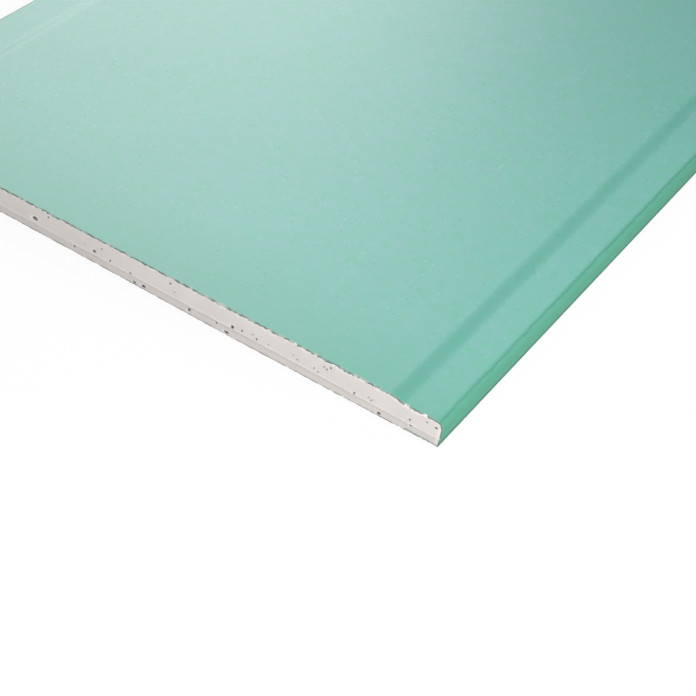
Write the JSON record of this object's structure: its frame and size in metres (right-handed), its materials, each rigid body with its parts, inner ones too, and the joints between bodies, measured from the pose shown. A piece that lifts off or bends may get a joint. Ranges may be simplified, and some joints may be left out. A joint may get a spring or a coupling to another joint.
{
  "type": "drywall sheet",
  "caption": "Flat gypsum board sheet with green face paper, recessed and rounded long edges and sawn white gypsum ends, for lining walls and ceilings.",
  "frame": {"origin": "centre of the back face, on the floor that the sheet lies on", "axes": "+X along the length of the sheet, +Y across its width, +Z out of the green face"},
  "size_m": [2, 0.6, 0.025],
  "materials": {
    "gypsum": "matte",
    "face_paper": "matte",
    "back_paper": "matte"
  },
  "bodies": {
    "root": {"gypsum_core": "gypsum", "face_paper": "face_paper", "back_paper": "back_paper"}
  },
  "joints": []
}
